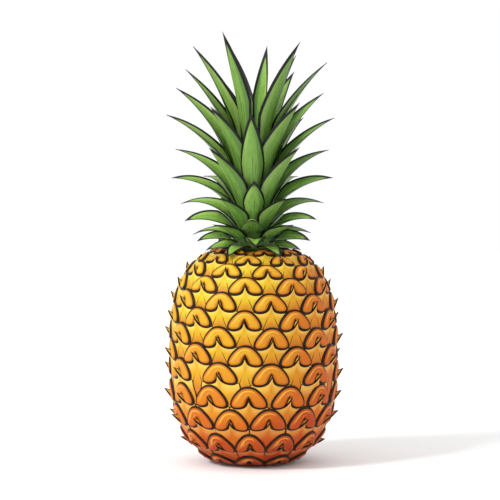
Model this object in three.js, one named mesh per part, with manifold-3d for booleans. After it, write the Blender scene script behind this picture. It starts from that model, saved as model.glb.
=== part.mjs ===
import * as THREE from "three";
import Module from "manifold-3d";
import { mergeVertices } from "three/addons/utils/BufferGeometryUtils.js";

// Whole pineapple standing on its flat cut base. Millimetres, +Z up, origin at the centre of the base, front -Y.

const wasm = await Module();
wasm.setup();

const degrees = Math.PI / 180;

// Fruit barrel
const bodyRadius = 63;
const waistHeight = 78;
const depthBelow = 80;
const heightAbove = 88;
const roundBelow = 2.55;
const roundAbove = 3.0;
const baseRadius = 23;
const topRadius = 24;
const ringSides = 28;

// Stub of the fruit stalk, cut flush with the base
const stalkRadius = 13.5;
const stalkDepth = 5.5;
const seatGap = 0.3;

// Stem the crown leaves grow from
const crownBase = 164.5;
const stemHeight = 86;
const stemFootRadius = 10.5;
const stemTaper = 0.075;
const stemSeatDepth = 3;

// Rows of eyes from the base up: height of the row, eyes around it, azimuth of the first one, width of the
// raised heart as a share of the pitch, length of the heart, how far the bract's thorn stands out
const eyeRows = [
  { height: 7.5, count: 10, turn: -5, share: 0.9, length: 13, thorn: 3 },
  { height: 22, count: 13, turn: -3, share: 0.94, length: 16.5, thorn: 6 },
  { height: 40.5, count: 13, turn: 11, share: 0.93, length: 17, thorn: 7 },
  { height: 57.5, count: 13, turn: -3, share: 0.9, length: 16.5, thorn: 7 },
  { height: 74.5, count: 10, turn: 12, share: 0.7, length: 16, thorn: 7 },
  { height: 88, count: 10, turn: -6, share: 0.68, length: 15.5, thorn: 7 },
  { height: 101.5, count: 10, turn: 12, share: 0.68, length: 15.5, thorn: 7 },
  { height: 115, count: 10, turn: -6, share: 0.68, length: 15, thorn: 7 },
  { height: 127.5, count: 10, turn: 12, share: 0.7, length: 14.5, thorn: 7 },
  { height: 139.5, count: 10, turn: -6, share: 0.74, length: 13.5, thorn: 7 },
  { height: 149.5, count: 10, turn: 12, share: 0.78, length: 12.5, thorn: 6 },
  { height: 157.5, count: 10, turn: -6, share: 0.82, length: 11, thorn: 4 },
  { height: 162.3, count: 9, turn: 14, share: 0.84, length: 9, thorn: 2 },
];
const rowTilt = 1.9;
const heartRise = 3.1;
const fullLength = 15;
const starRise = 1.8;

// Crown tiers from the collar up: height the leaves leave the stem at, their slope there and at the tip,
// length, widest width, and for each leaf its azimuth, its share of the tier's length and, where they differ,
// a tip slope and a channel of its own
const crownTiers = [
  {
    height: 1, rise: 14, droop: -36, length: 33.5, width: 15,
    leaves: [[-27, 1], [28, 1], [104, 0.8], [180, 0.9], [-106, 0.82]],
  },
  {
    height: 4, rise: 30, droop: -36, length: 36.5, width: 17,
    leaves: [[2, 1], [73, 0.96, -24], [144, 0.95], [-143, 1], [-70, 0.98, -24]],
  },
  {
    height: 7, rise: 32, droop: -25, length: 42, width: 18,
    leaves: [[-44, 0.86, 6], [44, 0.84, 6], [112, 0.92], [181, 1], [-113, 1]],
  },
  {
    height: 11, rise: 46, droop: -20, length: 48, width: 20,
    leaves: [[-2, 0.93, -20, -0.35], [70, 0.92], [142, 1], [-144, 0.95], [-73, 1]],
  },
  {
    height: 15.5, rise: 55, droop: -18, length: 58, width: 21,
    leaves: [[-44, 0.62, 18], [43, 0.62, 18], [112, 0.96], [180, 0.97], [-112, 1]],
  },
  {
    height: 21, rise: 62, droop: -2, length: 69, width: 22,
    leaves: [[1, 0.54, 56], [73, 0.96], [145, 0.94], [-143, 1], [-71, 1]],
  },
  {
    height: 27, rise: 68, droop: 12, length: 78.5, width: 22.5,
    leaves: [[-45, 0.82, 30], [46, 0.83, 30], [113, 0.97], [180, 0.93], [-113, 1]],
  },
  {
    height: 34, rise: 73, droop: 22, length: 95, width: 24,
    leaves: [[-3, 0.8, 60], [72, 0.94], [143, 0.96], [-144, 0.94], [-72, 1]],
  },
  {
    height: 42, rise: 76, droop: 33, length: 102.5, width: 24,
    leaves: [[-45, 0.76], [45, 0.8], [113, 0.93], [180, 0.95], [-112, 1]],
  },
  {
    height: 50, rise: 79, droop: 43, length: 104.5, width: 23,
    leaves: [[-76, 0.96], [72, 1.03], [143, 0.96], [-146, 0.93]],
  },
  {
    height: 58, rise: 82, droop: 53, length: 106.5, width: 21,
    leaves: [[-88, 1], [47, 1.02], [128, 0.93], [-160, 0.95]],
  },
  {
    height: 66, rise: 84, droop: 75, length: 102.5, width: 19,
    leaves: [[-40, 1.02, 62], [152, 0.9]],
  },
];
const leafSector = 33.5;
const leafStations = 8;
const leafBend = 1.1;
const leafChannel = 0.15;
const leafRoll = 0.52;
const rollFrom = 0.9; // the roll sets in where a leaf points sideways enough
const rollFull = 0.955;
const leafStart = 1.2;

// Outline of the barrel as radius and height at an angle from the waist
function outlineAt(angle) {
  const round = angle > 0 ? roundAbove : roundBelow;
  const reach = angle > 0 ? heightAbove : depthBelow;
  const radius = bodyRadius * Math.pow(Math.cos(angle), 2 / round);
  const height = waistHeight + Math.sign(angle) * reach * Math.pow(Math.abs(Math.sin(angle)), 2 / round);
  return [radius, height];
}

// The same outline walked by arc length from the base up, with the rise that keeps the unrolled skin in shape
const outlineSteps = 1600;
const outline = [];
let walked = 0;
let risen = 0;
for (let i = 1; i < outlineSteps; i++) {
  const [radius, height] = outlineAt((-90 + (180 * i) / outlineSteps) * degrees);
  if (height < 0) {
    continue;
  }
  const before = outline[outline.length - 1];
  const step = before ? Math.hypot(radius - before.radius, height - before.height) : 0;
  walked += step;
  risen += step / radius;
  outline.push({ radius, height, arc: walked, rise: risen });
}

function mix(a, b, share) {
  return a + (b - a) * share;
}

function outlineAtArc(arc) {
  const inside = Math.min(Math.max(arc, 0.01), walked - 0.01);
  let low = 0;
  let high = outline.length - 1;
  while (high - low > 1) {
    const middle = (low + high) >> 1;
    if (outline[middle].arc > inside) {
      high = middle;
    } else {
      low = middle;
    }
  }
  const a = outline[low];
  const b = outline[high];
  const share = (inside - a.arc) / (b.arc - a.arc);
  const span = b.arc - a.arc;
  return {
    radius: mix(a.radius, b.radius, share),
    height: mix(a.height, b.height, share),
    rise: mix(a.rise, b.rise, share),
    outR: (b.height - a.height) / span,
    outZ: (a.radius - b.radius) / span,
  };
}

function arcAtHeight(height) {
  return outline.find((point) => point.height >= height).arc;
}

// A point standing `lift` off the skin, `across` mm round and `up` mm along the outline from an eye's centre
function skinPoint(eye, across, up, lift) {
  const at = outlineAtArc(eye.arc + up);
  const azimuth = eye.azimuth + across / Math.max(at.radius, 12);
  const radius = at.radius + lift * at.outR;
  return [radius * Math.sin(azimuth), -radius * Math.cos(azimuth), at.height + lift * at.outZ];
}

function geometryOf(points, triangles) {
  const geometry = new THREE.BufferGeometry();
  geometry.setAttribute("position", new THREE.Float32BufferAttribute(points.flat(), 3));
  geometry.setIndex(triangles.flat());
  geometry.computeVertexNormals();
  return geometry;
}

function solidOf(geometry) {
  const plain = geometry.clone();
  plain.deleteAttribute("normal");
  plain.deleteAttribute("uv");
  const welded = mergeVertices(plain, 1e-4);
  return new wasm.Manifold(new wasm.Mesh({
    numProp: 3,
    vertProperties: new Float32Array(welded.attributes.position.array),
    triVerts: new Uint32Array(welded.index.array),
  }));
}

function geometryOfSolid(solid) {
  const mesh = solid.getMesh();
  const geometry = new THREE.BufferGeometry();
  geometry.setAttribute("position", new THREE.Float32BufferAttribute(mesh.vertProperties, 3));
  geometry.setIndex(Array.from(mesh.triVerts));
  geometry.computeVertexNormals();
  return geometry;
}

// A closed solid turned about Z from a profile of [radius, height] that starts and ends on the axis
function turned(profile, sides) {
  const points = profile.map(([radius, height]) => new THREE.Vector2(radius, height));
  const geometry = new THREE.LatheGeometry(points, sides);
  geometry.rotateX(Math.PI / 2);
  return solidOf(geometry);
}

// Outline of a heart-shaped eye for half width 1 and half length 1: rounded top, two lobes, notch between them
const heartOutline = [
  [0, 1], [0.4, 0.83], [0.72, 0.35], [0.92, -0.15], [0.99, -0.68], [0.7, -1.04], [0.3, -0.93], [0.13, -0.64],
  [0, -0.08],
  [-0.13, -0.64], [-0.3, -0.93], [-0.7, -1.04], [-0.99, -0.68], [-0.92, -0.15], [-0.72, 0.35], [-0.4, 0.83],
];
const heartCrests = [[0, 0.52], [0.42, 0.2], [-0.42, 0.2], [0.62, -0.42], [-0.62, -0.42]];

function insideOutline(x, y) {
  let inside = false;
  heartOutline.forEach(([x1, y1], i) => {
    const [x2, y2] = heartOutline[(i + 1) % heartOutline.length];
    if (y1 > y !== y2 > y && x < x1 + ((x2 - x1) * (y - y1)) / (y2 - y1)) {
      inside = !inside;
    }
  });
  return inside;
}

function eyesOfFruit() {
  const eyes = [];
  eyeRows.forEach((row, index) => {
    const arc = arcAtHeight(row.height);
    const radius = outlineAtArc(arc).radius;
    const width = row.share * (2 * Math.PI * radius) / row.count;
    for (let i = 0; i < row.count; i++) {
      const azimuth = (row.turn + (360 * i) / row.count) * degrees;
      const tilt = -rowTilt * Math.sin(azimuth) * (index > 3 ? 1 : 0.2);
      eyes.push({ arc: arc + tilt, azimuth, width, length: row.length, thorn: row.thorn });
    }
  });
  return eyes;
}

function turnBetween(a, b) {
  return Math.atan2(Math.sin(a - b), Math.cos(a - b));
}

function onSomeHeart(eyes, azimuth, arc, margin) {
  const radius = outlineAtArc(arc).radius;
  return eyes.some((eye) => {
    const x = (turnBetween(azimuth, eye.azimuth) * radius) / (eye.width / 2 + margin);
    const y = (arc - eye.arc) / (eye.length / 2 + margin);
    return insideOutline(x, y);
  });
}

// Points of the skin: where each lies on the unrolled skin, and where it stands in space
function skinPoints() {
  const eyes = eyesOfFruit();
  const points = [];
  const add = (eye, x, y, lift, leanY = y) => {
    const at = outlineAtArc(eye.arc + y);
    points.push({
      turn: eye.azimuth + x / at.radius,
      rise: at.rise,
      place: skinPoint(eye, x, leanY, lift),
    });
  };
  for (const eye of eyes) {
    const w = eye.width / 2;
    const h = eye.length / 2;
    for (const [x, y] of heartOutline) {
      add(eye, x * w, y * h, 0);
    }
    for (const [x, y] of heartCrests) {
      add(eye, x * w, y * h, heartRise * Math.min(1, eye.length / fullLength));
    }
    // the bract's thorn stands in the notch and leans up over the heart
    add(eye, 0, -0.66 * h, eye.thorn, 0.1 * h);
    for (const [x, y, lift] of [[0, -1.15, 1.2], [0.42, -1.4, 0.8], [-0.42, -1.4, 0.8], [0, -1.95, 0.7]]) {
      const azimuth = eye.azimuth + (x * w) / outlineAtArc(eye.arc + y * h).radius;
      const arc = eye.arc + y * h;
      if (arc > 2 && !onSomeHeart(eyes, azimuth, arc, 1.5)) {
        add(eye, x * w, y * h, starRise * lift);
      }
    }
  }
  return points;
}

// Delaunay triangles of the unrolled skin, joined up all the way round
function joinedTriangles(points) {
  const copies = [];
  const margin = 0.9;
  points.forEach((point, index) => {
    for (const shift of [-2 * Math.PI, 0, 2 * Math.PI]) {
      const x = point.turn + shift;
      if (Math.abs(x) < Math.PI + margin) {
        copies.push({ x, y: point.rise, index });
      }
    }
  });
  copies.sort((a, b) => a.x - b.x || a.y - b.y);
  const far = 1e4;
  const corners = [{ x: -far, y: -far }, { x: far, y: -far }, { x: 0, y: far }];
  const vertices = [...copies, ...corners];
  const circle = (a, b, c) => {
    const [p, q, r] = [vertices[a], vertices[b], vertices[c]];
    const d = 2 * ((q.x - p.x) * (r.y - p.y) - (r.x - p.x) * (q.y - p.y));
    const qq = (q.x - p.x) ** 2 + (q.y - p.y) ** 2;
    const rr = (r.x - p.x) ** 2 + (r.y - p.y) ** 2;
    const x = ((r.y - p.y) * qq - (q.y - p.y) * rr) / d;
    const y = ((q.x - p.x) * rr - (r.x - p.x) * qq) / d;
    return { corners: [a, b, c], x: p.x + x, y: p.y + y, reach: x * x + y * y };
  };
  const count = copies.length;
  let open = [circle(count, count + 1, count + 2)];
  const closed = [];
  for (let n = 0; n < count; n++) {
    const { x, y } = vertices[n];
    const edges = new Map();
    const kept = [];
    for (const triangle of open) {
      const dx = x - triangle.x;
      const dy = y - triangle.y;
      if (dx > 0 && dx * dx > triangle.reach) {
        closed.push(triangle);
      } else if (dx * dx + dy * dy > triangle.reach * (1 - 1e-12)) {
        kept.push(triangle);
      } else {
        const [a, b, c] = triangle.corners;
        for (const [from, to] of [[a, b], [b, c], [c, a]]) {
          const back = `${to},${from}`;
          if (!edges.delete(back)) {
            edges.set(`${from},${to}`, [from, to]);
          }
        }
      }
    }
    for (const [from, to] of edges.values()) {
      kept.push(circle(from, to, n));
    }
    open = kept;
  }
  const triangles = [];
  for (const { corners: abc } of [...closed, ...open]) {
    const middle = abc.reduce((sum, n) => sum + vertices[n].x, 0) / 3;
    if (abc.every((n) => n < count) && middle >= -Math.PI && middle < Math.PI) {
      triangles.push(abc.map((n) => copies[n].index));
    }
  }
  return triangles;
}

// The skin closed with a flat base and a flat top
function fruit() {
  const points = skinPoints();
  const ringEnds = [outline.findIndex((point) => point.radius > baseRadius),
    outline.findLastIndex((point) => point.radius > topRadius)];
  const rings = ringEnds.map((index) => {
    const { radius, height, rise } = outline[index];
    const first = points.length;
    for (let i = 0; i < ringSides; i++) {
      const turn = ((i + 0.5) / ringSides - 0.5) * 2 * Math.PI;
      points.push({ turn, rise, place: [radius * Math.sin(turn), -radius * Math.cos(turn), height] });
    }
    return { first, height };
  });
  const triangles = joinedTriangles(points);
  const places = points.map((point) => point.place);
  const [base, top] = rings;
  const foot = places.length;
  for (let i = 0; i < ringSides; i++) {
    const [x, y] = places[base.first + i];
    places[base.first + i][2] = 1;
    places.push([x * 0.93, y * 0.93, 0]);
  }
  places.push([0, 0, 0], [0, 0, top.height]);
  for (let i = 0; i < ringSides; i++) {
    const next = (i + 1) % ringSides;
    triangles.push([base.first + i, foot + next, base.first + next], [base.first + i, foot + i, foot + next]);
    triangles.push([foot + ringSides, foot + next, foot + i]);
    triangles.push([foot + ringSides + 1, top.first + i, top.first + next]);
  }
  let whole = solidOf(geometryOf(places, triangles));
  const stalkSeat = new THREE.CylinderGeometry(stalkRadius + seatGap, stalkRadius + seatGap, 20, 28);
  stalkSeat.rotateX(Math.PI / 2).translate(0, 0, stalkDepth + seatGap - 10);
  whole = whole.subtract(solidOf(stalkSeat));
  const seatRadius = stemFootRadius + 0.6;
  const stemSeat = new THREE.CylinderGeometry(seatRadius, seatRadius, 40, 20);
  stemSeat.rotateX(Math.PI / 2).translate(0, 0, crownBase - stemSeatDepth - seatGap + 20);
  whole = whole.subtract(solidOf(stemSeat));
  return geometryOfSolid(whole);
}

function stemRadius(height) {
  return stemFootRadius - stemTaper * height;
}

function crownStem() {
  const foot = -stemSeatDepth;
  const profile = [[0, foot], [stemFootRadius, foot], [stemFootRadius, 0]];
  for (const height of [stemHeight * 0.5, stemHeight - 2]) {
    profile.push([stemRadius(height), height]);
  }
  profile.push([stemRadius(stemHeight) * 0.55, stemHeight], [0, stemHeight + 0.6]);
  return geometryOfSolid(turned(profile, 20));
}

// Width along a leaf: narrower where it clasps the stem, widest at two fifths, then drawn out to a point
function leafWidth(share) {
  if (share < 0.4) {
    return 0.66 + 0.34 * Math.sin((share / 0.4) * 90 * degrees);
  }
  const out = (share - 0.4) / 0.6;
  return (1 - out) * (1 + 0.5 * out);
}

// One channelled leaf lying on its tier's trumpet-shaped surface, so tiers nest without touching
function leaf(tier, azimuth, share, tipSlope, channel) {
  const steps = 40;
  const stations = [];
  let radius = stemRadius(tier.height) + leafStart;
  let height = tier.height;
  for (let i = 0; i <= steps; i++) {
    const slope = (tier.rise + (tipSlope - tier.rise) * Math.pow((i * share) / steps, leafBend)) * degrees;
    if (i % (steps / leafStations) === 0) {
      stations.push({ radius, height, slope, along: i / steps });
    }
    const step = (tier.length * share) / steps;
    radius += step * Math.cos(slope);
    height += step * Math.sin(slope);
  }
  const sideways = Math.sin(azimuth * degrees);
  const rolled = Math.min(Math.max((Math.abs(sideways) - rollFrom) / (rollFull - rollFrom), 0), 1);
  const points = [];
  const place = (station, turn, lift) => {
    const r = station.radius - lift * Math.sin(station.slope);
    const z = station.height + lift * Math.cos(station.slope);
    const angle = azimuth * degrees + turn;
    points.push([r * Math.sin(angle), -r * Math.cos(angle), z]);
  };
  for (const station of stations) {
    const widest = 2 * leafSector * degrees * station.radius;
    const width = Math.min(tier.width * leafWidth(station.along), widest);
    const half = Math.max(width / 2, 0.15) / station.radius;
    const thick = station.along < 0.3 ? 1.3 + station.along : 1.75 - 1.3 * station.along;
    const free = Math.min(Math.max((station.along - 0.06) / 0.4, 0), 1);
    const edge = channel * width * free;
    const roll = leafRoll * (width / 2) * free * rolled * sideways;
    place(station, -half, edge - roll);
    place(station, 0, -thick / 2);
    place(station, half, edge + roll);
    place(station, 0, thick / 2);
  }
  const triangles = [[0, 3, 1], [3, 2, 1]];
  for (let i = 0; i < leafStations; i++) {
    for (let k = 0; k < 4; k++) {
      const a = i * 4 + k;
      const b = i * 4 + ((k + 1) % 4);
      triangles.push([a, b, b + 4], [a, b + 4, a + 4]);
    }
  }
  const last = leafStations * 4;
  triangles.push([last, last + 1, last + 3], [last + 1, last + 2, last + 3]);
  return geometryOf(points, triangles);
}

const group = new THREE.Group();

function addPart(name, geometry, colour, roughness, height = 0) {
  const material = new THREE.MeshStandardMaterial({ color: colour, roughness, metalness: 0 });
  const mesh = new THREE.Mesh(geometry, material);
  mesh.name = name;
  mesh.position.z = height;
  group.add(mesh);
}

addPart("fruit", fruit(), 0xe9962f, 0.45);

const stalk = new THREE.CylinderGeometry(stalkRadius, stalkRadius, stalkDepth, 28);
stalk.rotateX(Math.PI / 2).translate(0, 0, stalkDepth / 2);
addPart("cut_stalk", stalk, 0xb89a63, 0.8);

addPart("crown_stem", crownStem(), 0x8fa35c, 0.7, crownBase);

let leafNumber = 0;
crownTiers.forEach((tier, index) => {
  const green = new THREE.Color(0x5b7f3c).lerp(new THREE.Color(0x7ba84f), index / (crownTiers.length - 1));
  for (const [azimuth, share, tipSlope = tier.droop, channel = leafChannel] of tier.leaves) {
    leafNumber += 1;
    const name = `leaf_${String(leafNumber).padStart(2, "0")}`;
    addPart(name, leaf(tier, azimuth, share, tipSlope, channel), green, 0.5, crownBase);
  }
});

export default group;
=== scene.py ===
import math
import random

import bpy
import numpy as np
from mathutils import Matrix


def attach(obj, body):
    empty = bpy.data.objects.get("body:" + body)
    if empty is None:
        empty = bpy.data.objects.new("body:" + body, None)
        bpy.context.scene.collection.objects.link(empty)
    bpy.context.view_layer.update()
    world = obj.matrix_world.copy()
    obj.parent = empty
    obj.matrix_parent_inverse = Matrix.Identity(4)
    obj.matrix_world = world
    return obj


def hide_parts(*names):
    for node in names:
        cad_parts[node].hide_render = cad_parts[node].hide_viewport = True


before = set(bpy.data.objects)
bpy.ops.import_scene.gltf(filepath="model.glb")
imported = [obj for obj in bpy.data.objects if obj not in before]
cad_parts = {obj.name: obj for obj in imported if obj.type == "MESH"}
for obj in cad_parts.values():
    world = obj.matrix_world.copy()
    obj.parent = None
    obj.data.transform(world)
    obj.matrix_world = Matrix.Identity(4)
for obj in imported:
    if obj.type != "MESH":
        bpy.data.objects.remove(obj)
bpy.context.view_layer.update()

# Whole pineapple standing on its cut base. Lengths are worked out in millimetres, meshes are in metres.
metre = 0.001
luck = random.Random(11)


def makePiece(name, points, faces, marks, material, node):
    # one mesh riding on the body; marks are values per point that the materials read
    mesh = bpy.data.meshes.new(name)
    mesh.from_pydata((np.asarray(points) * metre).tolist(), [], faces)
    for markName, values in marks.items():
        mark = mesh.attributes.new(markName, "FLOAT", "POINT")
        mark.data.foreach_set("value", np.asarray(values, dtype=np.float32))
    mesh.materials.append(material)
    mesh.shade_smooth()
    piece = bpy.data.objects.new(name, mesh)
    bpy.context.scene.collection.objects.link(piece)
    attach(piece, "root")
    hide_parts(node)
    return piece


class Patch:
    # collects many small shells into one mesh
    def __init__(self):
        self.points, self.faces, self.marks, self.count = [], [], {}, 0

    def add(self, points, faces, **marks):
        self.points.append(points)
        self.faces += [[corner + self.count for corner in face] for face in faces]
        for markName, values in marks.items():
            self.marks.setdefault(markName, []).append(np.broadcast_to(values, (len(points),)))
        self.count += len(points)

    def build(self, name, material, node, slotName):
        marks = {markName: np.concatenate(values) for markName, values in self.marks.items()}
        return makePiece(name, np.concatenate(self.points), self.faces, marks, material, node)


# wiring of shader nodes
def inkOn(tree, kind, **values):
    node = tree.nodes.new(kind)
    for key, value in values.items():
        setattr(node, key, value)
    return node


def srgb(red, green, blue):
    channels = [c / 255 for c in (red, green, blue)]
    return tuple(c / 12.92 if c <= 0.04045 else ((c + 0.055) / 1.055) ** 2.4 for c in channels) + (1.0,)


class Board:
    # short hand for wiring nodes in one tree
    def __init__(self, tree):
        self.tree = tree

    def node(self, kind, **values):
        return inkOn(self.tree, kind, **values)

    def link(self, out, into):
        self.tree.links.new(out, into)

    def feed(self, socket, value):
        if isinstance(value, bpy.types.NodeSocket):
            self.link(value, socket)
        else:
            socket.default_value = value

    def math(self, operation, a, b=0.0, c=0.0):
        node = self.node("ShaderNodeMath", operation=operation)
        for socket, value in zip(node.inputs, (a, b, c)):
            self.feed(socket, value)
        return node.outputs[0]

    def mix(self, share, a, b):
        node = self.node("ShaderNodeMix", data_type="RGBA")
        self.feed(node.inputs[0], share)
        self.feed(node.inputs[6], a)
        self.feed(node.inputs[7], b)
        return node.outputs[2]

    def span(self, value, low, high, toLow=0.0, toHigh=1.0):
        node = self.node("ShaderNodeMapRange", interpolation_type="SMOOTHSTEP")
        for socket, number in zip(node.inputs, (value, low, high, toLow, toHigh)):
            self.feed(socket, number)
        return node.outputs[0]

    def ramp(self, value, stops):
        node = self.node("ShaderNodeValToRGB")
        node.color_ramp.interpolation = "EASE"
        steps = node.color_ramp.elements
        while len(steps) < len(stops):
            steps.new(0.5)
        for step, (place, colour) in zip(steps, stops):
            step.position, step.color = place, colour
        self.feed(node.inputs[0], value)
        return node.outputs[0]

    def mark(self, name):
        return self.node("ShaderNodeAttribute", attribute_name=name).outputs["Fac"]

    def noise(self, scale, detail=3.0, rough=0.5, stretch=(1, 1, 1)):
        place = self.node("ShaderNodeTexCoord").outputs["Object"]
        turn = self.node("ShaderNodeMapping")
        self.feed(turn.inputs["Scale"], stretch)
        self.link(place, turn.inputs["Vector"])
        node = self.node("ShaderNodeTexNoise")
        self.link(turn.outputs[0], node.inputs["Vector"])
        for key, value in (("Scale", scale), ("Detail", detail), ("Roughness", rough)):
            node.inputs[key].default_value = value
        return node.outputs[0]


def newGroup(name, inputs, outputs):
    tree = bpy.data.node_groups.new(name, "ShaderNodeTree")
    for socketName, kind, value in inputs:
        socket = tree.interface.new_socket(name=socketName, in_out="INPUT", socket_type=kind)
        if value is not None:
            socket.default_value = value
    for socketName, kind in outputs:
        tree.interface.new_socket(name=socketName, in_out="OUTPUT", socket_type=kind)
    board = Board(tree)
    return tree, board, board.node("NodeGroupInput").outputs, board.node("NodeGroupOutput").inputs


def newMaterial(name, roughness, coat=0.0):
    material = bpy.data.materials.new(name)
    material.use_nodes = True
    board = Board(material.node_tree)
    shader = material.node_tree.nodes["Principled BSDF"]
    shader.inputs["Roughness"].default_value = roughness
    shader.inputs["Coat Weight"].default_value = coat
    return material, board, shader.inputs


def useGroup(board, tree, **values):
    node = board.node("ShaderNodeGroup")
    node.node_tree = tree
    for key, value in values.items():
        board.feed(node.inputs[key], value)
    return node.outputs


# effects that several materials share
ripenessAndShade = {
    "height": 0.165, "halfWidth": 0.066, "foot": 0.8, "fade": -0.78, "redFoot": 0.8, "redUpTo": 0.3,
    "sideFrom": -0.25, "sideTo": 0.95, "sideShare": 0.62, "topBrownFrom": 0.155, "topBrownTo": 0.166,
    "stops": [
        (0.0, srgb(212, 183, 40)), (0.28, srgb(210, 158, 34)), (0.5, srgb(207, 130, 29)),
        (0.7, srgb(199, 99, 23)), (0.85, srgb(182, 68, 19)), (1.0, srgb(146, 39, 16)),
    ],
}


def ripeAndShadeColourGroup():
    # golden at the shoulder, redder and darker towards the base; redder and darker on the right side,
    # partly riper skin and partly painted shade away from the key light
    tree, board, given, out = newGroup(
        "ripeAndShadeColour", [("Shift", "NodeSocketFloat", 0.0)], [("Color", "NodeSocketColor")]
    )
    place = board.node("ShaderNodeSeparateXYZ")
    board.link(board.node("ShaderNodeTexCoord").outputs["Object"], place.inputs[0])
    up = board.math("DIVIDE", place.outputs["Z"], ripenessAndShade["height"])
    down = board.math("MULTIPLY_ADD", up, ripenessAndShade["fade"], ripenessAndShade["foot"])
    redFoot = board.math("MAXIMUM", board.math("SUBTRACT", ripenessAndShade["redUpTo"], up), 0.0)
    down = board.math("MULTIPLY_ADD", redFoot, ripenessAndShade["redFoot"], down)
    # painted shade, partly riper skin: the right side, away from the key light, is turned redder and darker
    side = board.math("DIVIDE", place.outputs["X"], ripenessAndShade["halfWidth"])
    sunward = board.span(side, ripenessAndShade["sideFrom"], ripenessAndShade["sideTo"], 1.0, 1.0 - ripenessAndShade["sideShare"])
    ripeAndShade = board.math("SUBTRACT", 1.0, board.math("MULTIPLY", board.math("SUBTRACT", 1.0, down), sunward))
    patchy = board.math("MULTIPLY_ADD", board.noise(55, 2), 0.16, -0.08)
    total = board.math("ADD", ripeAndShade, board.math("ADD", patchy, given["Shift"]))
    colour = board.ramp(total, ripenessAndShade["stops"])
    # browner at the very top, under the crown
    topBrown = board.span(place.outputs["Z"], ripenessAndShade["topBrownFrom"], ripenessAndShade["topBrownTo"], 0.0, 0.6)
    board.link(board.mix(topBrown, colour, srgb(150, 84, 34)), out["Color"])
    return tree


rimFade = {"from": 0.86, "to": 1.12}  # shares of the rim's width


def darkRimGroup():
    # darkens the last millimetre or two at an edge to dark brown: partly dried tissue, partly painted shade
    # along the edge and down the walls into the grooves
    inputs = [
        ("Color", "NodeSocketColor", None), ("Edge", "NodeSocketFloat", 1.0),
        ("Width", "NodeSocketFloat", 0.5), ("Rim", "NodeSocketColor", srgb(20, 11, 6)),
    ]
    tree, board, given, out = newGroup("darkRim", inputs, [("Color", "NodeSocketColor")])
    start = board.math("MULTIPLY", given["Width"], rimFade["from"])
    end = board.math("MULTIPLY", given["Width"], rimFade["to"])
    mask = board.span(given["Edge"], start, end, 1.0, 0.0)
    board.link(board.mix(mask, given["Color"], given["Rim"]), out["Color"])
    return tree


def fineGrainGroup():
    # small plant-skin grain for bump, and a soft tone mottle
    tree, board, given, out = newGroup(
        "fineGrain",
        [("Scale", "NodeSocketFloat", 900.0), ("Mottle", "NodeSocketFloat", 120.0)],
        [("Height", "NodeSocketFloat"), ("Tone", "NodeSocketFloat")],
    )
    place = board.node("ShaderNodeTexCoord").outputs["Object"]
    grain = board.node("ShaderNodeTexNoise")
    mottle = board.node("ShaderNodeTexNoise")
    pores = board.node("ShaderNodeTexVoronoi")
    for node, key in ((grain, "Scale"), (mottle, "Mottle"), (pores, "Scale")):
        board.link(place, node.inputs["Vector"])
        board.link(given[key], node.inputs["Scale"])
    pore = board.span(pores.outputs["Distance"], 0.0, 0.35, -0.4, 0.0)
    board.link(board.math("ADD", grain.outputs[0], pore), out["Height"])
    board.link(board.span(mottle.outputs[0], 0.3, 0.7, 0.0, 1.0), out["Tone"])
    return tree


ripeAndShadeColour, darkRim, fineGrain = ripeAndShadeColourGroup(), darkRimGroup(), fineGrainGroup()


def bumpInto(board, sockets, height, distance, strength=0.5):
    bump = board.node("ShaderNodeBump")
    bump.inputs["Strength"].default_value = strength
    bump.inputs["Distance"].default_value = distance
    board.link(height, bump.inputs["Height"])
    board.link(bump.outputs[0], sockets["Normal"])


# barrel of the fruit, walked by arc length from the base up
fruitShape = {
    "radius": 63.0, "waist": 78.0, "below": 80.0, "above": 88.0, "roundBelow": 2.55, "roundAbove": 3.0,
    "baseRadius": 23.0, "topRadius": 24.0, "skinSink": 0.5,
    "foot": 21.4, "recess": (13.8, 5.8), "well": (11.1, 161.2),  # holes for the stalk and the stem
}


def walkOutline():
    shape = fruitShape
    angle = np.radians(-90 + 180 * np.arange(1, 1600) / 1600)
    roundness = np.where(angle > 0, shape["roundAbove"], shape["roundBelow"])
    reach = np.where(angle > 0, shape["above"], shape["below"])
    radius = shape["radius"] * np.cos(angle) ** (2 / roundness)
    height = shape["waist"] + np.sign(angle) * reach * np.abs(np.sin(angle)) ** (2 / roundness)
    keep = height >= 0
    radius, height = radius[keep], height[keep]
    arc = np.concatenate([[0], np.cumsum(np.hypot(np.diff(radius), np.diff(height)))])
    slopeR, slopeZ = np.gradient(radius, arc), np.gradient(height, arc)
    size = np.hypot(slopeR, slopeZ)
    return arc, radius, height, slopeZ / size, -slopeR / size


outline = walkOutline()


def onSkin(arc, azimuth, across, up, lift):
    arcs, radii, heights, outR, outZ = outline
    at = np.clip(arc + up, arcs[0], arcs[-1])
    radius = np.interp(at, arcs, radii)
    turn = azimuth + across / np.maximum(radius, 12)
    r = radius + lift * np.interp(at, arcs, outR)
    z = np.interp(at, arcs, heights) + lift * np.interp(at, arcs, outZ)
    return np.stack([r * np.sin(turn), -r * np.cos(turn), np.maximum(z, 0.15)], axis=-1)


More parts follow.
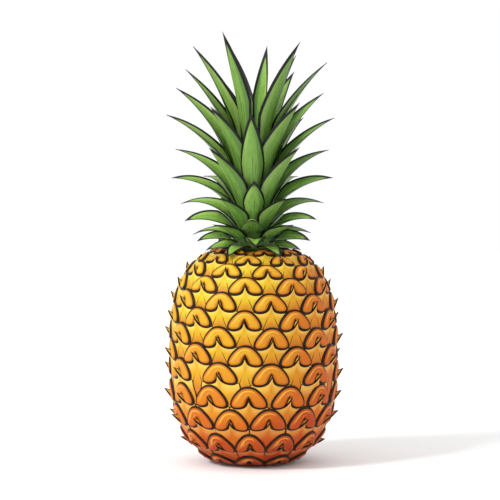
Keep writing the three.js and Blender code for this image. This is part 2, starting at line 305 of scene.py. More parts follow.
eyeRows = [  # height, eyes round, azimuth of one, width as a share of the pitch, length, thorn
    (7.5, 10, -5, 0.9, 13, 3), (22, 13, -3, 0.94, 16.5, 6), (40.5, 13, 11, 0.93, 17, 7),
    (57.5, 13, -3, 0.9, 16.5, 7), (74.5, 10, 12, 0.7, 16, 7), (88, 10, -6, 0.68, 15.5, 7),
    (101.5, 10, 12, 0.68, 15.5, 7), (115, 10, -6, 0.68, 15, 7), (127.5, 10, 12, 0.7, 14.5, 7),
    (139.5, 10, -6, 0.74, 13.5, 7), (149.5, 10, 12, 0.78, 12.5, 6), (157.5, 10, -6, 0.82, 11, 4),
    (162.3, 9, 14, 0.84, 9, 2),
]
rowShape = {
    "tilt": 1.9, "lowTilt": 0.2, "tiltedFrom": 4,  # rows dip to one side, hardly at all near the base
    "drop": 2.5, "footDrop": 26, "joinDrop": 7, "joinRows": (4, 5),  # rows of ten meet rows of thirteen
    "lowUpTo": 80, "shift": 0.4, "turn": 0.5, "lean": 0.05,
}


def arcAtHeight(height):
    return float(np.interp(height, outline[2], outline[0]))


def radiusAt(arc):
    return np.interp(arc, outline[0], outline[1])


def eyesOfRow(index):
    shape = rowShape
    height, count, turn, share, length, thorn = eyeRows[index]
    arc = arcAtHeight(height)
    radius = float(radiusAt(arc))
    width = share * 2 * math.pi * radius / count
    under = eyeRows[index - 2] if index > 1 else None
    drop = min(arc - 1, shape["footDrop"])
    if under:
        drop = arc - arcAtHeight(under[0]) - under[4] / 2 + shape["drop"]
    if index in shape["joinRows"]:
        drop += shape["joinDrop"]
    level = 1 if index >= shape["tiltedFrom"] else shape["lowTilt"]
    eyes = []
    for i in range(count):
        azimuth = math.radians(turn + 360 * i / count)
        tilt = -shape["tilt"] * math.sin(azimuth) * level
        eyes.append({
            "arc": arc + tilt + luck.uniform(-shape["shift"], shape["shift"]),
            "azimuth": azimuth + luck.uniform(-shape["turn"], shape["turn"]) / radius,
            "w": width / 2 * luck.uniform(0.97, 1.03), "h": length / 2 * luck.uniform(0.97, 1.03),
            "lean": luck.uniform(-shape["lean"], shape["lean"]), "drop": drop,
            "thorn": thorn * luck.uniform(0.92, 1.04), "tone": luck.uniform(-1, 1),
            "spread": 1 / share, "low": min(max(1 - height / shape["lowUpTo"], 0), 1),
        })
    return eyes


# heart-shaped cushions, one on each eye
heartShape = {
    "outline": [(0, 1), (0.22, 0.95), (0.43, 0.79), (0.66, 0.44), (0.86, 0), (0.97, -0.4), (0.98, -0.76),
                (0.82, -1.02), (0.54, -1.05), (0.29, -0.93), (0.14, -0.68), (0.06, -0.38), (0, -0.08)],
    "around": 64, "middle": 0.38,
    "rings": [0, 0.3, 0.6, 0.9, 1.3, 1.8, 2.6, 4.2], "innerRings": (0.62, 0.82),
    "foot": -1.3, "rim": 1.3, "flat": 1.0, "swell": 0.3, "rise": 1.2, "bevel": 1.7, "crown": 0.7,
    "crownIn": 3.5, "notchHalf": 0.3, "notchFrom": 0.6, "notchFiner": 0.45,
}


def smoothLoop(corners, count):
    # closed rounded curve through the corners of the right half and their mirror, evenly spaced
    half = np.array(corners, dtype=float)
    left = half[1:-1][::-1] * [-1, 1]
    loop = np.concatenate([half, left])
    n = len(loop)
    curve = []
    for i in range(n):
        a, b, c, d = loop[i - 1], loop[i], loop[(i + 1) % n], loop[(i + 2) % n]
        for t in np.linspace(0, 1, 12, endpoint=False):
            curve.append(0.5 * (2 * b + (c - a) * t + (2 * a - 5 * b + 4 * c - d) * t * t
                                + (3 * b - a - 3 * c + d) * t ** 3))
    curve = np.array(curve)
    closed = np.concatenate([curve, curve[:1]])
    run = np.concatenate([[0], np.cumsum(np.hypot(*np.diff(closed, axis=0).T))])
    even = np.linspace(0, run[-1], count, endpoint=False)
    return np.stack([np.interp(even, run, closed[:, 0]), np.interp(even, run, closed[:, 1])], axis=-1)


def distanceToPath(points, path):
    start, end = path[None, :-1], path[None, 1:]
    p = points[:, None]
    along = np.clip(((p - start) * (end - start)).sum(-1) / ((end - start) ** 2).sum(-1), 0, 1)
    gap = p - (start + along[..., None] * (end - start))
    return np.hypot(gap[..., 0], gap[..., 1]).min(1)


def heartTemplate(w, h):
    # rings of points from the outline in to the middle, with each point's distance from the outline
    shape = heartShape
    loop = smoothLoop(shape["outline"], shape["around"]) * [w, h]
    middle = np.array([0, shape["middle"] * h])
    reach = np.hypot(*(loop - middle).T)
    rings = [loop]
    for inset in shape["rings"][1:]:
        inward = inset / shape["rings"][-1]
        share = np.maximum(np.minimum(inset / reach, 0.82 * inward), inward * 0.25)
        rings.append(loop + (middle - loop) * share[:, None])
    last = rings[-1]
    for share in shape["innerRings"]:
        rings.append(last + (middle - last) * share)
    plane = np.concatenate(rings + [middle[None]])
    return plane, distanceToPath(plane, np.concatenate([loop, loop[:1]])), len(rings)


def heartFaces(ringCount):
    n = heartShape["around"]
    faces = []
    for ring in range(ringCount):  # ring 0 is the foot of the wall
        for i in range(n):
            j = (i + 1) % n
            a, b = ring * n, (ring + 1) * n
            faces.append((a + j, a + i, b + i, b + j))
    top = ringCount * n
    faces += [(top + (i + 1) % n, top + i, top + n) for i in range(n)]
    faces.append(tuple(range(n)))
    return faces


def addHearts(patch, eyes):
    shape = heartShape
    plane, inward, ringCount = heartTemplate(eyes[0]["w"] + shape["swell"], eyes[0]["h"] + shape["swell"])
    n = shape["around"]
    faces = heartFaces(ringCount)
    for eye in eyes:
        scale = np.array([eye["w"] / eyes[0]["w"], eye["h"] / eyes[0]["h"]])
        flat = np.concatenate([plane[:n], plane]) * scale
        # the foot ring has edge zero, so the wall is painted dark brown as shade down into the groove
        d = np.concatenate([np.zeros(n), inward])
        bevel = np.clip((d - shape["flat"]) / shape["bevel"], 0, 1)
        lift = shape["rim"] + shape["rise"] * np.sqrt(1 - (1 - bevel) ** 2)
        lift += shape["crown"] * np.clip((d - shape["flat"] - shape["bevel"]) / shape["crownIn"], 0, 1)
        lift[:n] = shape["foot"]
        x, y = flat[:, 0] + eye["lean"] * flat[:, 1], flat[:, 1]
        right, up = x / eye["w"], y / eye["h"]
        # painted highlight: strongest towards the upper left, where the key light falls
        glow = np.clip(0.75 * up - 0.65 * right + 0.1, -1, 1)
        notch = np.exp(-(right / shape["notchHalf"]) ** 2) * np.clip(shape["notchFrom"] - up, 0, 1)
        edge = d * (1 + shape["notchFiner"] * notch)  # a finer rim in the notch
        place = onSkin(eye["arc"], eye["azimuth"], x, y, lift)
        patch.add(place, faces, edge=edge, tone=eye["tone"], glow=glow)


# star-shaped bracts under the hearts, the middle point of each drawn out into a thorn
starShape = {
    "top": [(0, -0.08), (0.06, -0.38), (0.14, -0.68), (0.29, -0.93), (0.54, -1.05), (0.82, -1.02),
            (0.98, -0.86), (1.1, -0.9)],
    "gap": 0.2, "waist": 0.46, "arm": 0.9, "armBend": 0.8, "armDrop": 1.4, "armLength": 14,
    "columns": [0, 0.035, 0.07, 0.11, 0.16, 0.22, 0.3, 0.38, 0.46, 0.54, 0.62, 0.7, 0.78, 0.86, 0.93,
                0.97, 1],
    "rows": [0, 0.012, 0.03, 0.055, 0.085, 0.12, 0.17, 0.23, 0.3, 0.38, 0.47, 0.57, 0.68, 0.79, 0.9, 1],
    "foot": -1.3, "lip": 1.0, "lipLength": 0.06, "low": 0.25, "ridge": 0.7, "ridgeHalf": 0.5,
    "sideSink": 0.2, "sideFrom": 0.85,
    "thornFoot": 1.35, "thornBow": 1.7, "thornUp": 0.38, "thornHalf": 0.55, "thornFree": 1.8,
    "thornRoof": 1.2, "rimShift": 0.35, "rimSide": 0.1, "wallRim": 0.85,
}


def starGrid(eye):
    shape = starShape
    w, h = eye["w"], eye["h"]
    cols = np.array(shape["columns"])
    a = np.concatenate([-cols[:0:-1], cols])
    rows = np.array(shape["rows"])
    topX, topY = np.array(shape["top"]).T
    side = np.abs(a)
    xTop = side * min(topX[-1], eye["spread"]) * w
    yTop = np.interp(xTop / w, topX, topY) * h - shape["gap"]
    places = [0, shape["waist"], 1]
    footX = np.interp(side, places, [0, shape["waist"] * w, eye["spread"] * w])
    v = rows[:, None]
    bend = np.interp(side, places, [1, 1, shape["armBend"]])[None]
    x = xTop + (footX - xTop) * v ** bend
    armFloor = -h - shape["armDrop"] - shape["armLength"] * v
    y = yTop + (-eye["drop"] - yTop) * v
    y = np.where((side > shape["arm"])[None], np.maximum(y, armFloor), y)
    narrowing = radiusAt(eye["arc"] + y) / radiusAt(eye["arc"])
    x = x * (1 + (np.minimum(narrowing, 1) - 1) * side)
    return np.sign(a)[None] * x, y, a[None] + 0 * v, v + 0 * a[None]


def starLift(eye, x, y, a, v):
    # how far each point stands off the skin, and how much of that is thorn
    shape = starShape
    w, h = eye["w"], eye["h"]
    onLip = np.clip(v / shape["lipLength"], 0, 1)
    lipRound = np.sqrt(onLip * (2 - onLip))
    lift = shape["low"] + (shape["lip"] - shape["low"]) * (1 - v) ** 1.3 * (0.6 + 0.4 * lipRound)
    lift += shape["ridge"] * np.clip(1 - np.abs(a) / shape["ridgeHalf"], 0, 1) ** 1.3 * (1 - v) ** 1.6
    lift -= shape["sideSink"] * np.clip((np.abs(a) - shape["sideFrom"]) / (1 - shape["sideFrom"]), 0, 1)
    tipY = shape["top"][0][1] * h - shape["gap"]
    rise = np.clip((y + shape["thornFoot"] * h) / (tipY + shape["thornFoot"] * h), 0, 1)
    topX, topY = np.array(shape["top"]).T
    reach = np.interp(-y / h, -topY[:4], topX[:4], left=0.02) * w
    outward = np.clip(np.abs(x) / np.maximum(reach, 0.3), 0, 1)
    roof = shape["thornRoof"] * rise * (1 - rise) * 4 * outward ** 1.4
    fade = np.clip(1 - (np.abs(x) / (shape["thornHalf"] * w)) ** 2, 0, 1)
    drawn = eye["thorn"] * rise ** shape["thornBow"] * fade
    return lift * (1 - rise ** 2) + np.maximum(drawn - roof * fade, 0), drawn


def addStars(patch, eyes):
    shape = starShape
    for eye in eyes:
        x, y, a, v = starGrid(eye)
        side = np.abs(a)
        lift, drawn = starLift(eye, x, y, a, v)
        rowCount, colCount = x.shape
        up = y + shape["thornUp"] * np.maximum(drawn - shape["thornFree"], 0)
        top = onSkin(eye["arc"], eye["azimuth"], x + eye["lean"] * y, up, lift).reshape(-1, 3)
        index = np.arange(rowCount * colCount).reshape(rowCount, colCount)
        faces = [(index[r, c], index[r + 1, c], index[r + 1, c + 1], index[r, c + 1])
                 for r in range(rowCount - 1) for c in range(colCount - 1)]
        loop = [*index[0, :], *index[1:, -1], *index[-1, -2::-1], *index[-2:0, 0:1].ravel()]
        n = len(loop)
        fx, fy = x.ravel()[loop], y.ravel()[loop]
        level = np.minimum(lift.ravel()[loop] - 0.1, shape["thornFree"])
        under = onSkin(eye["arc"], eye["azimuth"], fx + eye["lean"] * fy, fy, level)
        tall = np.linalg.norm(under - top[loop], axis=1)
        near = top[loop] + (under - top[loop]) * np.minimum(shape["wallRim"] / tall, 0.5)[:, None]
        foot = onSkin(eye["arc"], eye["azimuth"], fx + eye["lean"] * fy, fy, np.full(n, shape["foot"]))
        walls = [top, near, under, foot]
        # the walls get small edge values, so they are painted dark brown as shade down into the grooves
        wallEdge = [np.minimum(shape["wallRim"], tall / 2), np.minimum(tall, 2), np.zeros(n)]
        first = rowCount * colCount
        rims = [loop] + [list(range(first + k * n, first + (k + 1) * n)) for k in range(3)]
        for upper, lower in zip(rims, rims[1:]):
            for i in range(n):
                j = (i + 1) % n
                faces.append((upper[i], upper[j], lower[j], lower[i]))
        faces.append(tuple(rims[3]))
        flat = np.stack([x, y], axis=-1)
        edgeTop = distanceToPath(flat.reshape(-1, 2), flat[0])
        edgeSide = ((1 - side) * eye["w"] * 0.9).ravel() + shape["rimSide"]
        point = np.clip(drawn / eye["thorn"], 0, 1).ravel()
        edgeTop += shape["rimShift"] * (1 - np.minimum(point * 6, 1))
        edge = np.concatenate([np.minimum(edgeTop, edgeSide)] + wallEdge)
        fall = np.clip(-y / eye["drop"], 0, 1)
        marks = {"along": v, "fall": fall, "aside": x / eye["w"], "tip": point ** 2}
        marks = {key: np.concatenate([m.ravel()] + 3 * [m.ravel()[loop]]) for key, m in marks.items()}
        patch.add(np.concatenate(walls), faces, edge=edge, tone=eye["tone"], low=eye["low"], **marks)


def fadeBand(board, value, places):
    # one between the two middle places, nothing beyond the outer two
    begin, full, fading, end = places
    return board.math("SUBTRACT", board.span(value, begin, full), board.span(value, fading, end))


heartLook = {
    "rim": 1.6, "toneShift": 0.05,
    "bevelShade": (1.4, 1.7, 2.5, 2.9), "bevelShadeShare": 0.55, "bevelShadeColour": srgb(176, 84, 22),
    "glow": (2.8, 3.1, 3.5, 4.0), "paintedHighlightShare": 0.45, "paintedHighlightColour": srgb(250, 212, 96),
}


def heartColour(board, tone):
    # painted shade as a darker band on the bevel inside the rim, and beyond it a painted highlight line on
    # the upper left
    look = heartLook
    colour = useGroup(board, ripeAndShadeColour, Shift=board.math("MULTIPLY", tone, look["toneShift"]))["Color"]
    edge = board.mark("edge")
    # painted shade on the bevel just inside the rim
    bevelShade = board.math("MULTIPLY", fadeBand(board, edge, look["bevelShade"]), look["bevelShadeShare"])
    colour = board.mix(bevelShade, colour, look["bevelShadeColour"])
    # painted highlight along the upper-left inside of the plateau
    lit = board.span(board.mark("glow"), 0.05, 0.6, 0.0, look["paintedHighlightShare"])
    glow = board.math("MULTIPLY", lit, fadeBand(board, edge, look["glow"]))
    colour = board.mix(glow, colour, look["paintedHighlightColour"])
    return useGroup(board, darkRim, Color=colour, Edge=edge, Width=look["rim"])["Color"]


bractLook = {
    "rim": 0.85, "toneShift": 0.04, "lowShift": 0.16,
    "lipHighlight": (0.0, 0.34, 0.45, 0.0), "lipHighlightLow": 0.9, "lipHighlightColour": srgb(255, 226, 120),
    "deepShade": (0.4, 1.0, 0.0, 0.6), "lowShadeColour": srgb(200, 98, 34),
    "creaseSpread": 0.72, "creaseFrom": -0.18, "creaseHalf": (0.008, 0.045, 1.0, 0.0),
    "creaseFall": (0.45, 0.62), "creaseShare": 0.9, "creaseShadeColour": srgb(70, 32, 10),
    "betweenFall": (0.5, 0.8), "betweenShare": 0.3, "betweenColour": srgb(176, 92, 26),
    "tip": (0.6, 0.98, 0.0, 0.8), "tipColour": srgb(70, 40, 16),
}


def bractColour(board, tone):
    # a painted highlight under the lip, painted shade in red-brown farther down, two fine creases painted
    # dark as shade spreading down from under the tip
    look = bractLook
    low, along = board.mark("low"), board.mark("along")
    lowShift = board.math("MULTIPLY_ADD", low, look["lowShift"], -look["lowShift"])
    shift = board.math("ADD", board.math("MULTIPLY", tone, look["toneShift"]), lowShift)
    colour = useGroup(board, ripeAndShadeColour, Shift=shift)["Color"]
    # painted highlight along the upper lip, weaker on the low rows
    lipHighlightLow = board.math("MULTIPLY_ADD", low, -look["lipHighlightLow"], 1.0)
    lipHighlight = board.math("MULTIPLY", board.span(along, *look["lipHighlight"]), lipHighlightLow)
    colour = board.mix(lipHighlight, colour, look["lipHighlightColour"])
    # painted shade on the lower part, where the bract runs under the next heart
    colour = board.mix(board.span(along, *look["deepShade"]), colour, look["lowShadeColour"])
    fall, aside = board.mark("fall"), board.math("ABSOLUTE", board.mark("aside"))
    line = board.math("MULTIPLY_ADD", fall, look["creaseSpread"], look["creaseFrom"])
    inside = board.math("SUBTRACT", line, aside)
    between = board.math("MULTIPLY", board.span(inside, 0.0, 0.03), board.span(fall, *look["betweenFall"]))
    colour = board.mix(board.math("MULTIPLY", between, look["betweenShare"]), colour, look["betweenColour"])
    # painted shade: two fine dark crease lines
    near = board.span(board.math("ABSOLUTE", inside), *look["creaseHalf"])
    crease = board.math("MULTIPLY", near, board.span(fall, *look["creaseFall"]))
    colour = board.mix(board.math("MULTIPLY", crease, look["creaseShare"]), colour, look["creaseShadeColour"])
    colour = board.mix(board.span(board.mark("tip"), *look["tip"]), colour, look["tipColour"])
    return useGroup(board, darkRim, Color=colour, Edge=board.mark("edge"), Width=look["rim"])["Color"]


def rindMaterial(name, colourOf):
    material, board, sockets = newMaterial(name, 0.5)
    sockets["Specular IOR Level"].default_value = 0.14
    colour = colourOf(board, board.mark("tone"))
    grain = useGroup(board, fineGrain, Scale=1100.0, Mottle=160.0)
    mottle = board.math("MULTIPLY", grain["Tone"], 0.12)
    board.link(board.mix(mottle, colour, srgb(150, 84, 24)), sockets["Base Color"])
    bumpInto(board, sockets, grain["Height"], 0.0004, 0.35)
    return material


def skinMaterial():
    material, board, sockets = newMaterial("grooveSkin", 0.6)
    colour = useGroup(board, ripeAndShadeColour, Shift=0.14)["Color"]
    grain = useGroup(board, fineGrain, Scale=700.0, Mottle=90.0)
    # darker than the bracts: partly the skin's own colour, partly painted shade in the grooves between the
    # eyes
    board.link(board.mix(0.45, colour, srgb(120, 56, 16)), sockets["Base Color"])
    bumpInto(board, sockets, grain["Height"], 0.0006, 0.5)
    return material


def turnedShell(profile, around):
    # closed shell turned about Z from [radius, height] pairs that start and end on the axis
    angle = 2 * np.pi * np.arange(around) / around
    points, faces = [[0, 0, profile[0][1]]], []
    for radius, height in profile[1:-1]:
        points += [[radius * math.sin(t), -radius * math.cos(t), height] for t in angle]
    points.append([0, 0, profile[-1][1]])
    last = len(points) - 1
    for i in range(around):
        j = (i + 1) % around
        faces.append((0, 1 + j, 1 + i))
        for ring in range(len(profile) - 3):
            a, b = 1 + ring * around, 1 + (ring + 1) * around
            faces.append((a + i, a + j, b + j, b + i))
        end = 1 + (len(profile) - 3) * around
        faces.append((end + i, end + j, last))
    return np.array(points), faces


def buildFruit():
    shape = fruitShape
    arcs, radii, heights, outR, outZ = outline
    low = arcs[np.argmax(radii > shape["baseRadius"])]
    high = arcs[len(radii) - 1 - np.argmax(radii[::-1] > shape["topRadius"])]
    recess, well = shape["recess"], shape["well"]
    profile = [(0, recess[1]), recess, (recess[0], 0), (shape["foot"], 0)]
    for arc in np.linspace(low, high, 90):
        r = np.interp(arc, arcs, radii) - shape["skinSink"] * np.interp(arc, arcs, outR)
        z = np.interp(arc, arcs, heights) - shape["skinSink"] * np.interp(arc, arcs, outZ)
        profile.append((r, max(z, 0.6)))
    profile += [(well[0], profile[-1][1]), well, (0, well[1])]
    points, faces = turnedShell(profile, 144)
    makePiece("rind_skin", points, faces, {}, skinMaterial(), "fruit")
    heartSkin, starSkin = rindMaterial("heartRind", heartColour), rindMaterial("bractRind", bractColour)
    for index in range(len(eyeRows)):
        eyes = eyesOfRow(index)
        hearts, stars = Patch(), Patch()
        addHearts(hearts, eyes)
        addStars(stars, eyes)
        hearts.build(f"eyes_row_{index + 1:02d}", heartSkin, "fruit", "rind")
        stars.build(f"bracts_row_{index + 1:02d}", starSkin, "fruit", "rind")
    print("fruit rind built:", len(eyeRows), "rows of eyes")


# leaves of the crown
crownShape = {
    "base": 164.5, "stemFoot": 10.5, "stemTaper": 0.075, "stemHeight": 86, "sector": 33.5, "bend": 1.1,
    "channel": 0.15, "roll": 0.52, "rollFrom": 0.9, "rollFull": 0.955, "start": 1.2, "stations": 44,
    "across": 14, "footWidth": 0.66, "widest": 0.4, "freeFrom": 0.06, "freeOver": 0.4, "fold": 0.35,
    "foldHalf": 0.16, "finerRim": 0.4, "finerUpTo": 30,
}
# height, slope at the stem, slope at the tip, length, width, then for each leaf
# its azimuth and share of the length, some with a tip slope and channel of their own
crownTiers = [
    (1, 14, -36, 33.5, 15, [(-27, 1), (28, 1), (104, 0.8), (180, 0.9), (-106, 0.82)]),
    (4, 30, -36, 36.5, 17, [(2, 1), (73, 0.96, -24), (144, 0.95), (-143, 1), (-70, 0.98, -24)]),
    (7, 32, -25, 42, 18, [(-44, 0.86, 6), (44, 0.84, 6), (112, 0.92), (181, 1), (-113, 1)]),
    (11, 46, -20, 48, 20, [(-2, 0.93, -20, -0.35), (70, 0.92), (142, 1), (-144, 0.95), (-73, 1)]),
    (15.5, 55, -18, 58, 21, [(-44, 0.62, 18), (43, 0.62, 18), (112, 0.96), (180, 0.97), (-112, 1)]),
    (21, 62, -2, 69, 22, [(1, 0.54, 56), (73, 0.96), (145, 0.94), (-143, 1), (-71, 1)]),
    (27, 68, 12, 78.5, 22.5, [(-45, 0.82, 30), (46, 0.83, 30), (113, 0.97), (180, 0.93), (-113, 1)]),
    (34, 73, 22, 95, 24, [(-3, 0.8, 60), (72, 0.94), (143, 0.96), (-144, 0.94), (-72, 1)]),
    (42, 76, 33, 102.5, 24, [(-45, 0.76), (45, 0.8), (113, 0.93), (180, 0.95), (-112, 1)]),
    (50, 79, 43, 104.5, 23, [(-76, 0.96), (72, 1.03), (143, 0.96), (-146, 0.93)]),
    (58, 82, 53, 106.5, 21, [(-88, 1), (47, 1.02), (128, 0.93), (-160, 0.95)]),
    (66, 84, 75, 102.5, 19, [(-40, 1.02, 62), (152, 0.9)]),
]


def leafPath(tier, share, tipSlope):
    # radius, height and slope of the leaf's middle line, evenly along it
    shape = crownShape
    height, rise, length = tier[0], tier[1], tier[3]
    n = shape["stations"]
    radius = shape["stemFoot"] - shape["stemTaper"] * height + shape["start"]
    path = []
    fine = 4
    for i in range(n * fine + 1):
        slope = math.radians(rise + (tipSlope - rise) * (i / (n * fine) * share) ** shape["bend"])
        if i % fine == 0:
            path.append((radius, height, slope, i / (n * fine)))
        step = length * share / (n * fine)
        radius += step * math.cos(slope)
        height += step * math.sin(slope)
    return np.array(path)


def leafWidths(along):
    foot, widest = crownShape["footWidth"], crownShape["widest"]
    inner = foot + (1 - foot) * np.sin(np.clip(along / widest, 0, 1) * math.pi / 2)
    out = np.clip((along - widest) / (1 - widest), 0, 1)
    return np.where(along < widest, inner, (1 - out) * (1 + 0.5 * out))


def leafFaces(rows, cols):
    # the upper and the lower side share the points along both edges
    upper = np.arange(rows * cols).reshape(rows, cols)
    inner = rows * cols + np.arange(rows * (cols - 2)).reshape(rows, cols - 2)
    lower = np.concatenate([upper[:, :1], inner, upper[:, -1:]], axis=1)
    faces = []
    for r in range(rows - 1):
        for c in range(cols - 1):
            faces.append((upper[r, c], upper[r, c + 1], upper[r + 1, c + 1], upper[r + 1, c]))
            faces.append((lower[r + 1, c], lower[r + 1, c + 1], lower[r, c + 1], lower[r, c]))
    for r, flip in ((0, True), (rows - 1, False)):
        for c in range(cols - 1):
            quad = list(dict.fromkeys([upper[r, c], upper[r, c + 1], lower[r, c + 1], lower[r, c]]))
            faces.append(quad[::-1] if flip else quad)
    return [tuple(int(corner) for corner in face) for face in faces]


def buildLeaf(number, tier, azimuth, share, tipSlope, channel, material):
    shape = crownShape
    path = leafPath(tier, share, tipSlope)
    radius, height, slope, along = (path[:, i:i + 1] for i in range(4))
    width = np.minimum(tier[4] * leafWidths(along), 2 * math.radians(shape["sector"]) * radius)
    half = np.maximum(width / 2, 0.12)
    a = np.sin(np.linspace(-1, 1, shape["across"] + 1) * math.pi / 2)[None]
    free = np.clip((along - shape["freeFrom"]) / shape["freeOver"], 0, 1)
    edgeLift = channel * width * free * np.abs(a) ** 1.6
    sideways = math.sin(math.radians(azimuth))
    rolled = np.clip((abs(sideways) - shape["rollFrom"]) / (shape["rollFull"] - shape["rollFrom"]), 0, 1)
    roll = shape["roll"] * half * free * rolled * sideways * a
    thick = np.where(along < 0.3, 1.3 + along, 1.75 - 1.3 * along)
    body = 0.5 * thick * np.sqrt(np.clip(1 - a ** 2, 0, 1))
    folded = np.sin(np.pi * np.clip(along * 1.1, 0, 1))
    fold = -shape["fold"] * np.exp(-(a / shape["foldHalf"]) ** 2) * folded
    turn = math.radians(azimuth) + a * half / radius
    sides = []
    for lift in (edgeLift + roll + body + fold, edgeLift + roll - body + 0.6 * fold):
        r = radius - lift * np.sin(slope)
        z = height + lift * np.cos(slope) + shape["base"]
        sides.append(np.stack([r * np.sin(turn), -r * np.cos(turn), z], axis=-1))
    points = np.concatenate([sides[0].reshape(-1, 3), sides[1][:, 1:-1].reshape(-1, 3)])
    rows, cols = sides[0].shape[:2]

    def onBothSides(grid):
        return np.concatenate([grid.ravel(), grid[:, 1:-1].ravel()])

    whole = np.zeros((rows, cols))
    length = tier[3] * share
    finer = 1 + shape["finerRim"] * max(0, 1 - tier[0] / shape["finerUpTo"])
    marks = {
        "across": onBothSides(a + whole), "along": onBothSides(along + whole),
        "edge": onBothSides((1 - np.abs(a)) * half * finer),
        "under": np.concatenate([np.zeros(rows * cols), np.ones(rows * (cols - 2))]),
        "tone": np.full(len(points), luck.uniform(-1, 1)),
        "left": onBothSides(length - length * along + whole),
        # painted shade on the leaves of the right side, away from the key light
        "rightSideShade": np.full(len(points), min(max((sideways - 0.3) / 0.6, 0), 1)),
    }
    name, node = f"crown_leaf_{number:02d}", f"leaf_{number:02d}"
    makePiece(name, points, leafFaces(rows, cols), marks, material, node)


leafLook = {
    "fresh": srgb(140, 185, 74), "deepShade": srgb(114, 160, 64), "freshAlong": (0.08, 0.4),
    "lit": (-0.9, -0.78, -0.5, -0.36), "litShare": 0.6, "litColour": srgb(184, 214, 120),
    "shade": (0.3, 0.5, 0.0, 0.75), "shadeColour": srgb(82, 122, 50),
    "fibre": (0.5, 0.72, 0.0, 0.35), "fibreColour": srgb(66, 108, 46),
    "strokes": [(0.04, 0.22, 0.56), (0.24, 0.3, 0.48), (-0.22, 0.18, 0.36)],  # place across, start and end
    "strokeHalf": (0.015, 0.05, 0.75, 0.0), "strokeFade": 0.06, "strokeColour": srgb(58, 88, 34),
    "underShare": 0.45, "underColour": srgb(88, 124, 62),
    "toneShare": 0.06, "rightSideShadeShare": 0.26, "toneAndShadeColour": srgb(60, 96, 46),
    "rim": 2.2, "rimColour": srgb(9, 12, 6), "tip": (2.5, 7.0, 1.0, 0.0), "tipColour": srgb(26, 24, 12),
}


def leafMaterial():
    material, board, sockets = newMaterial("crownLeaf", 0.5, coat=0.04)
    sockets["Specular IOR Level"].default_value = 0.3
    look = leafLook
    across, along = board.mark("across"), board.mark("along")
    # painted shade at the leaf's foot, where the neighbouring leaves overlap it
    colour = board.mix(board.span(along, *look["freshAlong"]), look["deepShade"], look["fresh"])
    light = board.math("MULTIPLY", fadeBand(board, across, look["lit"]), look["litShare"])
    colour = board.mix(light, colour, look["litColour"])
    colour = board.mix(board.span(across, *look["shade"]), colour, look["shadeColour"])
    fibre = board.noise(60, 3, 0.6, (6, 6, 0.5))
    colour = board.mix(board.span(fibre, *look["fibre"]), colour, look["fibreColour"])
    for place, start, end in look["strokes"]:
        near = board.math("ABSOLUTE", board.math("SUBTRACT", across, place))
        begun = board.span(along, start, start + look["strokeFade"])
        stroke = board.math("MULTIPLY", board.span(near, *look["strokeHalf"]), begun)
        stroke = board.math("MULTIPLY", stroke, board.span(along, end - look["strokeFade"], end, 1.0, 0.0))
        colour = board.mix(stroke, colour, look["strokeColour"])
    # partly the underside's own duller green, partly painted shade on the side turned away from the light
    under = board.math("MULTIPLY", board.mark("under"), look["underShare"])
    colour = board.mix(under, colour, look["underColour"])
    # random tone per leaf, plus painted shade on the right-side leaves
    tone = board.math("MULTIPLY_ADD", board.mark("tone"), look["toneShare"], look["toneShare"])
    toneAndShade = board.math("ADD", tone, board.math("MULTIPLY", board.mark("rightSideShade"), look["rightSideShadeShare"]))
    colour = board.mix(toneAndShade, colour, look["toneAndShadeColour"])
    rim = useGroup(board, darkRim, Color=colour, Edge=board.mark("edge"), Width=look["rim"],
                   Rim=look["rimColour"])
    tipped = board.mix(board.span(board.mark("left"), *look["tip"]), rim["Color"], look["tipColour"])
    board.link(tipped, sockets["Base Color"])
    grain = useGroup(board, fineGrain, Scale=1400.0, Mottle=140.0)
    ribs = board.math("SINE", board.math("MULTIPLY", across, 46.0))
    height = board.math("MULTIPLY_ADD", ribs, 0.35, board.math("MULTIPLY", grain["Height"], 0.4))
    bumpInto(board, sockets, height, 0.0003, 0.35)
    return material


def fibreMaterial(name, colour, dark, rings):
    material, board, sockets = newMaterial(name, 0.75)
    grain = useGroup(board, fineGrain, Scale=900.0, Mottle=260.0)
    streak = board.noise(rings, 4, 0.65)
    board.link(board.mix(board.span(streak, 0.35, 0.65), colour, dark), sockets["Base Color"])
    bumpInto(board, sockets, board.math("ADD", grain["Height"], streak), 0.0006, 0.6)
    return material


stemShape = {
    "foot": [(0, -3), (10.2, -3), (10.5, -2.6), (10.6, -0.2)], "tip": [(2.4, 86.8), (0, 87)],
    "steps": 24, "inset": 0.15, "swell": 0.12, "clasp": 1.5, "claspOver": 16,
    "flare": 5.0, "flareFrom": 2.5, "flareOver": 7,
}
stalkProfile = [
    (0, 0.25), (3, 0.2), (6, 0.1), (9, 0.15), (11.5, 0), (13.1, 0), (13.5, 0.5), (13.5, 5.0), (13.0, 5.5),
    (0, 5.5),
]


def stemProfile():
    # a little thicker than the bare stem, as the feet of the leaves clasp it, and flared at the bottom
    shape, base, tall = stemShape, crownShape["base"], crownShape["stemHeight"]
    profile = [(radius, base + z) for radius, z in shape["foot"]]
    for i in range(shape["steps"]):
        z = tall * i / (shape["steps"] - 1)
        radius = crownShape["stemFoot"] - crownShape["stemTaper"] * z - shape["inset"]
        radius += shape["swell"] * math.sin(i * 2.4)
        radius += shape["clasp"] * min(1, (tall - z) / shape["claspOver"])
        radius += shape["flare"] * min(1, max(0, shape["flareFrom"] - z / shape["flareOver"]))
        profile.append((radius, base + z))
    return profile + [(radius, base + z) for radius, z in shape["tip"]]


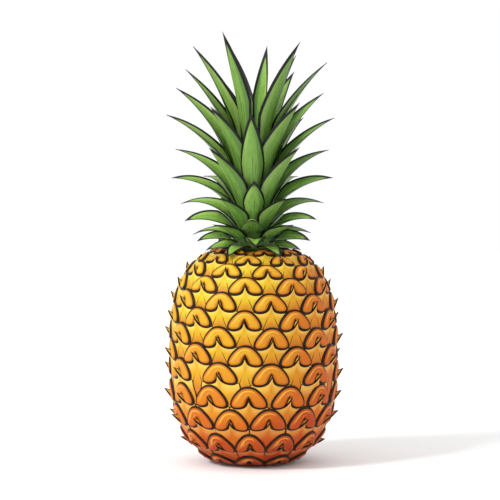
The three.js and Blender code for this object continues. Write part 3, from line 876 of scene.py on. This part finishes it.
def buildStemAndStalk():
    points, faces = turnedShell(stemProfile(), 40)
    # the stem's green is darkened as painted shade, as it stands in the shadow of the leaves
    fibre = fibreMaterial("shadedStemFibre", srgb(92, 122, 54), srgb(54, 78, 32), 90)
    makePiece("crown_core", points, faces, {}, fibre, "crown_stem")
    points, faces = turnedShell(stalkProfile, 56)
    cut = fibreMaterial("cutFibre", srgb(186, 156, 104), srgb(120, 84, 44), 320)
    makePiece("stalk_stub", points, faces, {}, cut, "cut_stalk")
    print("stem and stalk built")


def buildCrown():
    material = leafMaterial()
    number = 0
    for tier in crownTiers:
        for azimuth, share, *own in tier[5]:
            number += 1
            tipSlope = own[0] if own else tier[2]
            channel = own[1] if len(own) > 1 else crownShape["channel"]
            buildLeaf(number, tier, azimuth, share, tipSlope, channel, material)
    print("crown built:", number, "leaves")


# floor, light and camera
studio = {
    "floorSize": 6.0, "world": 1.0, "keyStrength": 2.0, "keyTurn": (52, 0, -56), "keyAngle": 14,
    "lens": 150, "distance": 1.605, "elevation": 3.0, "aim": (-0.0027, 0, 0.1640),
}


def buildStudio():
    scene = bpy.context.scene
    scene.view_settings.view_transform = "Standard"
    world = bpy.data.worlds.new("softRoom")
    world.use_nodes = True
    world.node_tree.nodes["Background"].inputs[0].default_value = (1, 1, 1, 1)
    world.node_tree.nodes["Background"].inputs[1].default_value = studio["world"]
    scene.world = world
    size = studio["floorSize"] / 2
    mesh = bpy.data.meshes.new("floor")
    corners = [(-size, -size, 0), (size, -size, 0), (size, size, 0), (-size, size, 0)]
    mesh.from_pydata(corners, [], [(0, 1, 2, 3)])
    floor = bpy.data.objects.new("floor", mesh)
    scene.collection.objects.link(floor)
    material, _, sockets = newMaterial("paleFloor", 0.9)
    sockets["Base Color"].default_value = (0.93, 0.93, 0.93, 1)
    sockets["Specular IOR Level"].default_value = 0.1
    mesh.materials.append(material)
    key = bpy.data.lights.new("key", "SUN")
    key.energy = studio["keyStrength"]
    key.angle = math.radians(studio["keyAngle"])
    keyLamp = bpy.data.objects.new("key", key)
    keyLamp.rotation_euler = [math.radians(d) for d in studio["keyTurn"]]
    scene.collection.objects.link(keyLamp)
    lens = bpy.data.cameras.new("view")
    lens.lens = studio["lens"]
    camera = bpy.data.objects.new("view", lens)
    lift = math.radians(studio["elevation"])
    x, y, z = studio["aim"]
    reach = studio["distance"]
    camera.location = (x, y - reach * math.cos(lift), z + reach * math.sin(lift))
    camera.rotation_euler = (math.radians(90) - lift, 0, 0)
    scene.collection.objects.link(camera)
    scene.camera = camera
    print("studio ready")


buildStudio()
buildFruit()
buildStemAndStalk()
buildCrown()
